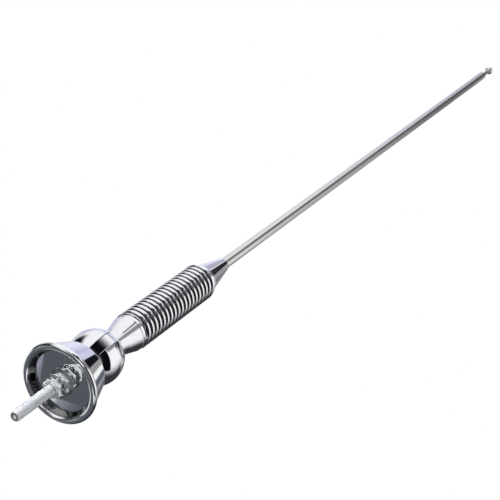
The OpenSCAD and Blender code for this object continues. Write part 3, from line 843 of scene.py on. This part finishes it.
class AERIAL_OT_mast(bpy.types.Operator):
    """Draw both tubes and the rod, and turn the tip ball"""

    bl_idname = "aerial.mast"
    bl_label = "Telescopic mast"

    def execute(self, context):
        s = context.scene.aerial_mast
        outer, middle, rod = TUBE_HIGH.x, MIDDLE_HIGH.x, ROD_HIGH.x
        tube = tube_outline(outer, TUBE_LOW.z, TUBE_HIGH.z, middle + s.run_gap, s)
        dress(piece("mast_tube", [turned(tube, 96)], stainless()), "mast", "stainless", "outer_tube")
        inner = tube_outline(middle, MIDDLE_LOW.z, MIDDLE_HIGH.z, rod + s.run_gap, s)
        dress(piece("mast_section", [turned(inner, 80)], stainless()), "middle", "stainless", "middle_tube")
        bar = outline(
            (0.0, ROD_LOW.z), (rod - s.rod_end, ROD_LOW.z),
            runs((rod, ROD_LOW.z + s.rod_end), 8, (rod, ROD_HIGH.z - s.rod_end)),
            (rod - s.rod_end, ROD_HIGH.z), (0.0, ROD_HIGH.z),
        )
        dress(piece("mast_rod", [turned(bar, 64)], stainless()), "rod", "stainless", "inner_rod")
        radius = TIP_HIGH.x
        centre = TIP_HIGH.z - radius
        play = 0.00002
        hole = rod + play
        low = centre - sqrt(radius**2 - hole**2)
        ball = outline(
            (0.0, ROD_HIGH.z + play), (hole, ROD_HIGH.z + play), (hole, low),
            arc((0.0, centre), radius, np.degrees(np.arctan2(low - centre, hole)), 90.0, 48),
        )
        satin = finish("satin_chrome", plated, "chrome", 0.32)
        dress(piece("tip_knob", [turned(ball, 96)], satin), "rod", "chrome", "tip_ball")
        brass = finish("spring_brass", spring_brass, "brass")
        paint("middle_sleeve", brass)
        paint("rod_sleeve", brass)
        return {"FINISHED"}


class AERIAL_OT_stud(bpy.types.Operator):
    """Cut the thread of the stud and finish the nuts, washers and screw"""

    bl_idname = "aerial.stud"
    bl_label = "Stud and fastenings"

    def execute(self, context):
        s = context.scene.aerial_stud
        low, nut, top = STUD_LOW.z, NUT_LOW.z, STUD_HIGH.z
        shank = STUD_HIGH.x
        rows_a_turn, first_row, crest, flank = 14, 0.00001, 0.14, 0.68
        rows = int((s.shank_low - low) / s.pitch * rows_a_turn)
        thread_z = np.linspace(low + first_row, s.shank_low, rows)
        envelope = np.minimum(s.radius, s.radius - s.chamfer + (thread_z - low))
        corners = outline(
            runs((0.0, low + s.dimple), 3, (s.dimple, low)),
            (s.radius - s.chamfer, low), np.column_stack([envelope, thread_z]),
            (shank, s.shank_low), (shank, top - s.chamfer), (shank - s.chamfer, top), (0.0, top),
        )

        def groove(turn, h, r):
            """V groove with flat crest and root: |2 frac(h / pitch - t / 2 pi) - 1| between two limits."""
            wave = np.abs(2 * np.mod(h / s.pitch - turn / (2 * pi), 1.0) - 1)
            depth = s.depth * np.clip((wave - crest) / flank, 0, 1) - (s.radius - r)
            inside = (h > low + first_row / 2) & (h < s.shank_low + 1e-7) & (r <= s.radius + 1e-9)
            return np.where(inside, np.maximum(depth, 0.0), 0.0)

        # The finish paints shade at the hex nut's lower face and round the stud's end
        coat = finish("satin_zinc", zinc_plated, "zinc", [nut, low], 0.34, 0.5)
        thread = piece("threaded_stud", [turned(corners, 72, relief=groove)], coat, sharp=50.0)
        dress(thread, "ball", "zinc_steel", "mount_stud")
        for node in (*STACK, "pivot_screw"):
            paint(node, zinc())
        return {"FINISHED"}


# Stage

# Lamps: name, place, width, the setting that gives the power, and the spread of the beam in degrees
LAMPS = (
    ("soft_lamp", (-1.1, -0.5, 1.5), 0.9, "lamp_power", 180),
    ("stud_lamp", (-0.80, -0.25, -0.15), 0.3, "stud_lamp_power", 16),
)

# Cards that only reflections show: name, four azimuths from +X and four elevations over which the card fades
# in and out, in degrees, and its colour. The first lies nearest.
CARDS = (
    ("front_dark", (-116, -112, -2, 4), (-30, -27, 2, 5), (0.004, 0.004, 0.006)),
    ("front_haze", (-107, -103, -98, -92), (-40, -36, 6, 58), (0.03, 0.03, 0.035)),
    ("front_post", (-94, -82, -70, -60), (3, 8, 48, 64), (0.27, 0.27, 0.29)),
    ("under_front", (-80, -70, 2, 8), (-89, -88, -29, -25), (0.15, 0.15, 0.165)),
    ("left_streak", (145, 150, 184, 204), (-24, -8, 14, 34), (0.012, 0.012, 0.02)),
    ("left_table", (158, 168, 184, 196), (-62, -58, -14, -6), (0.07, 0.07, 0.085)),
    ("left_sheen", (136, 144, 156, 168), (-62, -58, -14, -6), (0.22, 0.22, 0.25)),
    ("nut_glow", (122, 128, 140, 148), (-54, -50, -40, -37), (0.50, 0.50, 0.56)),
    ("table", (22, 28, 152, 176), (-89, -88, -27, -20), (0.10, 0.112, 0.128)),
    ("nadir", (-180, -180, 180, 180), (-90, -90, -68, -60), (0.05, 0.05, 0.055)),
    ("right_wall", (-20, 27, 76, 108), (-30, -24, 46, 60), (0.04, 0.04, 0.045)),
    ("ceiling_black", (-134, -124, -24, -16), (77, 80, 90, 90), (0.008, 0.008, 0.012)),
    ("mast_line", (-108, -96, -60, -46), (48, 54, 72, 76), (0.12, 0.12, 0.13)),
    ("tip_shade", (-118, -104, 80, 100), (62, 66, 67, 70), (0.13, 0.13, 0.15)),
    ("mast_sheen", (-52, -44, 54, 70), (54, 60, 65, 68), (0.46, 0.46, 0.48)),
    ("ceiling_streak", (-114, -100, -44, -22), (64, 70, 82, 86), (0.008, 0.008, 0.012)),
    ("ceiling_window", (-56, -50, 14, 20), (54, 62, 90, 90), (0.34, 0.33, 0.32)),
    ("right_edge", (60, 70, 94, 106), (46, 54, 66, 70), (0.17, 0.175, 0.19)),
    ("ceiling_slate", (32, 40, 68, 86), (48, 56, 90, 90), (0.12, 0.13, 0.19)),
    ("left_low", (-146, -138, -110, -104), (-62, -56, -36, -30), (0.10, 0.10, 0.125)),
    ("left_edge", (92, 110, 158, 190), (22, 38, 46, 60), (0.58, 0.58, 0.72)),
    ("left_cloud", (165, 200, 236, 250), (65, 69, 74, 78), (0.46, 0.46, 0.56)),
    ("left_sky", (150, 175, 235, 240), (56, 66, 90, 90), (0.66, 0.67, 0.86)),
    ("left_high", (92, 104, 176, 200), (48, 56, 90, 90), (0.82, 0.84, 0.98)),
)

# Tiles under the aerial that the plate mirrors along its edge, each cut off a disc: name, start and end of
# its arc in degrees, and its colours towards +X and towards -X
TILES = (
    ("left_tile", (116, 200), (0.20, 0.205, 0.25), (0.36, 0.36, 0.47)),
    ("low_tile", (6, 111), (0.10, 0.11, 0.14), (0.95, 0.96, 1.0)),
)


def dome_patch(azimuth, elevation, distance):
    """Patch of a sphere, with its azimuths and elevations in degrees as its UV map."""
    u, v = np.meshgrid(np.linspace(*azimuth, 49), np.linspace(*elevation, 25), indexing="ij")
    az, el = np.radians(u), np.radians(v)
    points = np.stack([np.cos(el) * np.cos(az), np.cos(el) * np.sin(az), np.sin(el)], axis=-1) * distance
    rows, columns = u.shape
    row, column = np.meshgrid(np.arange(rows - 1), np.arange(columns - 1), indexing="ij")
    a = row * columns + column
    faces = np.stack([a, a + 1, a + columns + 1, a + columns], axis=-1).reshape(-1, 4)
    uv = np.stack([u, v], axis=-1).reshape(-1, 2)
    return points.reshape(-1, 3), faces, uv[faces]


class AERIAL_OT_stage(bpy.types.Operator):
    """Set up the camera, floor, white surroundings, lamps and what only reflections show"""

    bl_idname = "aerial.stage"
    bl_label = "Studio"

    def execute(self, context):
        s = context.scene.aerial_stage
        context.scene.view_settings.view_transform = "Standard"
        self.camera(context, s)
        self.world(context, s)
        self.floor(s)
        for name, place, size, power, spread in LAMPS:
            self.lamp(name, place, size, getattr(s, power), radians(spread))
        for index, card in enumerate(CARDS):
            self.card(s.card_distance + index * s.card_step, *card)
        for tile in TILES:
            self.tile(s, *tile)
        return {"FINISHED"}

    def camera(self, context, s):
        data = bpy.data.cameras.new("camera")
        data.lens = s.camera_lens
        data.clip_start, data.clip_end = 0.02, 50.0
        camera = added("camera", data)
        sight = (Vector(s.camera_target) - Vector(s.camera_at)).normalized()
        level = sight.cross(Vector((0, 0, 1))).normalized()
        upright = level.cross(sight)
        right = level * cos(s.camera_roll) + upright * sin(s.camera_roll)
        up = upright * cos(s.camera_roll) - level * sin(s.camera_roll)
        turn = Matrix((right, up, -sight)).transposed().to_4x4()
        camera.matrix_world = Matrix.Translation(s.camera_at) @ turn
        context.scene.camera = camera

    def world(self, context, s):
        """White to the camera and in reflections, and plain room light for the rest."""
        world = bpy.data.worlds.new("white_room")
        context.scene.world = world
        sheet = NodeSheet(world)
        path = sheet.node("ShaderNodeLightPath").socket.node.outputs
        seen = [Flow(sheet, path[name]) for name in ("Is Camera Ray", "Is Glossy Ray", "Is Transmission Ray")]
        direct = (seen[0] + seen[1] + seen[2]) > 0.5
        strength = direct * (1.0 - s.room_light) + s.room_light
        light = sheet.node("ShaderNodeBackground", inputs={"Color": (1, 1, 1, 1), "Strength": strength})
        sheet.end(light, "ShaderNodeOutputWorld")

    def floor(self, s):
        """Wide pale floor that takes the shadow."""
        mesh = bpy.data.meshes.new("floor")
        reach, z = 20.0, s.floor_height
        corners = [(-reach, -reach, z), (reach, -reach, z), (reach, reach, z), (-reach, reach, z)]
        mesh.from_pydata(corners, [], [(0, 1, 2, 3)])
        made, sheet = material("pale_floor")
        grain = sheet.noise(sheet.place(), 60.0, 4.0)
        base = sheet.blend(grain.ramp(0.3, 0.7), rgba(s.floor_colour), rgba(s.floor_colour, 0.985))
        inputs = {"Base Color": base, "Roughness": 0.7, "Specular IOR Level": 0.2}
        sheet.end(sheet.node("ShaderNodeBsdfPrincipled", inputs=inputs, output="BSDF"))
        mesh.materials.append(made)
        floor = added("floor", mesh)
        floor.visible_glossy = False

    def lamp(self, name, place, size, power, spread):
        """Round area lamp that faces the aerial's base. Its beam is as wide as the spread."""
        data = bpy.data.lights.new(name, "AREA")
        data.energy, data.shape, data.size, data.spread = power, "DISK", size, spread
        lamp = added(name, data)
        lamp.visible_glossy = lamp.visible_camera = False
        place = Vector(place)
        lamp.matrix_world = Matrix.Translation(place) @ place.to_track_quat("Z", "Y").to_matrix().to_4x4()

    def card(self, distance, name, azimuth, elevation, shade):
        """Patch of a dome that only reflections show, clear towards its edges."""
        ends = (azimuth[0], azimuth[3]), (elevation[0], elevation[3])
        points, faces, uv = dome_patch(*ends, distance)
        mesh = bpy.data.meshes.new(name)
        mesh.from_pydata(points, [], faces)
        mesh.uv_layers.new(name="angles").data.foreach_set("uv", uv.reshape(-1))
        made, sheet = material(name)
        u, v, _ = sheet.split(sheet.node("ShaderNodeUVMap", {"uv_map": "angles"}))
        share = 1.0
        for angle, (start, full, last, end) in ((u, azimuth), (v, elevation)):
            if full > start:
                share = share * angle.ramp(start, full)
            if end > last:
                share = share * angle.ramp(last, end, 1.0, 0.0)
        clear = sheet.node("ShaderNodeBsdfTransparent")
        glow = sheet.node("ShaderNodeEmission", inputs={"Color": rgba(shade), "Strength": 1.0})
        sheet.end(sheet.node("ShaderNodeMixShader", inputs={0: share, 1: clear, 2: glow}))
        self.only_mirrored(name, mesh, made)

    def tile(self, s, name, ends, first, last):
        """Part of a disc that a straight line cuts off, flat under the aerial, coloured from end to end."""
        corners = arc(s.tile_centre, s.tile_radius, *ends, 32)
        mesh = bpy.data.meshes.new(name)
        mesh.from_pydata([(x, y, s.tile_height) for x, y in corners], [], [tuple(range(len(corners)))])
        made, sheet = material(name)
        low, high = corners[:, 0].min(), corners[:, 0].max()
        across = sheet.split(sheet.place())[0]
        glare_from, glare_full, glare_share = 0.42, 0.28, 0.6
        glare = across.ramp(low + glare_from * (high - low), low + glare_full * (high - low))
        share = across.ramp(high, low) * (1 - glare_share) + glare * glare_share
        shade = sheet.blend(share, rgba(first), rgba(last))
        sheet.end(sheet.node("ShaderNodeEmission", inputs={"Color": shade, "Strength": 1.0}))
        self.only_mirrored(name, mesh, made)

    def only_mirrored(self, name, mesh, made):
        mesh.materials.append(made)
        card = added("card_" + name, mesh)
        card.visible_camera = card.visible_diffuse = card.visible_shadow = card.visible_transmission = False


class AERIAL_PT_panel(bpy.types.Panel):
    """Lists the pieces of the aerial and their sizes"""

    bl_label = "Car mast aerial"
    bl_idname = "AERIAL_PT_panel"
    bl_space_type = "VIEW_3D"
    bl_region_type = "UI"
    bl_category = "Aerial"

    def draw(self, context):
        for operator in OPERATORS:
            self.layout.operator(operator.bl_idname)
        for name, group in SETTINGS.items():
            box = self.layout.box()
            box.label(text=group.__doc__)
            for key in group.__annotations__:
                box.prop(getattr(context.scene, name), key)


OPERATORS = (
    AERIAL_OT_stage,
    AERIAL_OT_bell,
    AERIAL_OT_ball,
    AERIAL_OT_foot,
    AERIAL_OT_spring,
    AERIAL_OT_ferrule,
    AERIAL_OT_mast,
    AERIAL_OT_stud,
)


def register():
    for group in SETTINGS.values():
        bpy.utils.register_class(group)
    for name, group in SETTINGS.items():
        setattr(bpy.types.Scene, name, PointerProperty(type=group))
    for operator in (*OPERATORS, AERIAL_PT_panel):
        bpy.utils.register_class(operator)


def unregister():
    for operator in (*OPERATORS, AERIAL_PT_panel):
        bpy.utils.unregister_class(operator)
    for name, group in SETTINGS.items():
        delattr(bpy.types.Scene, name)
        bpy.utils.unregister_class(group)


def main():
    register()
    bpy.ops.aerial.stage()
    bpy.ops.aerial.bell()
    bpy.ops.aerial.ball()
    bpy.ops.aerial.foot()
    bpy.ops.aerial.spring()
    bpy.ops.aerial.ferrule()
    bpy.ops.aerial.mast()
    bpy.ops.aerial.stud()


if __name__ == "__main__":
    main()
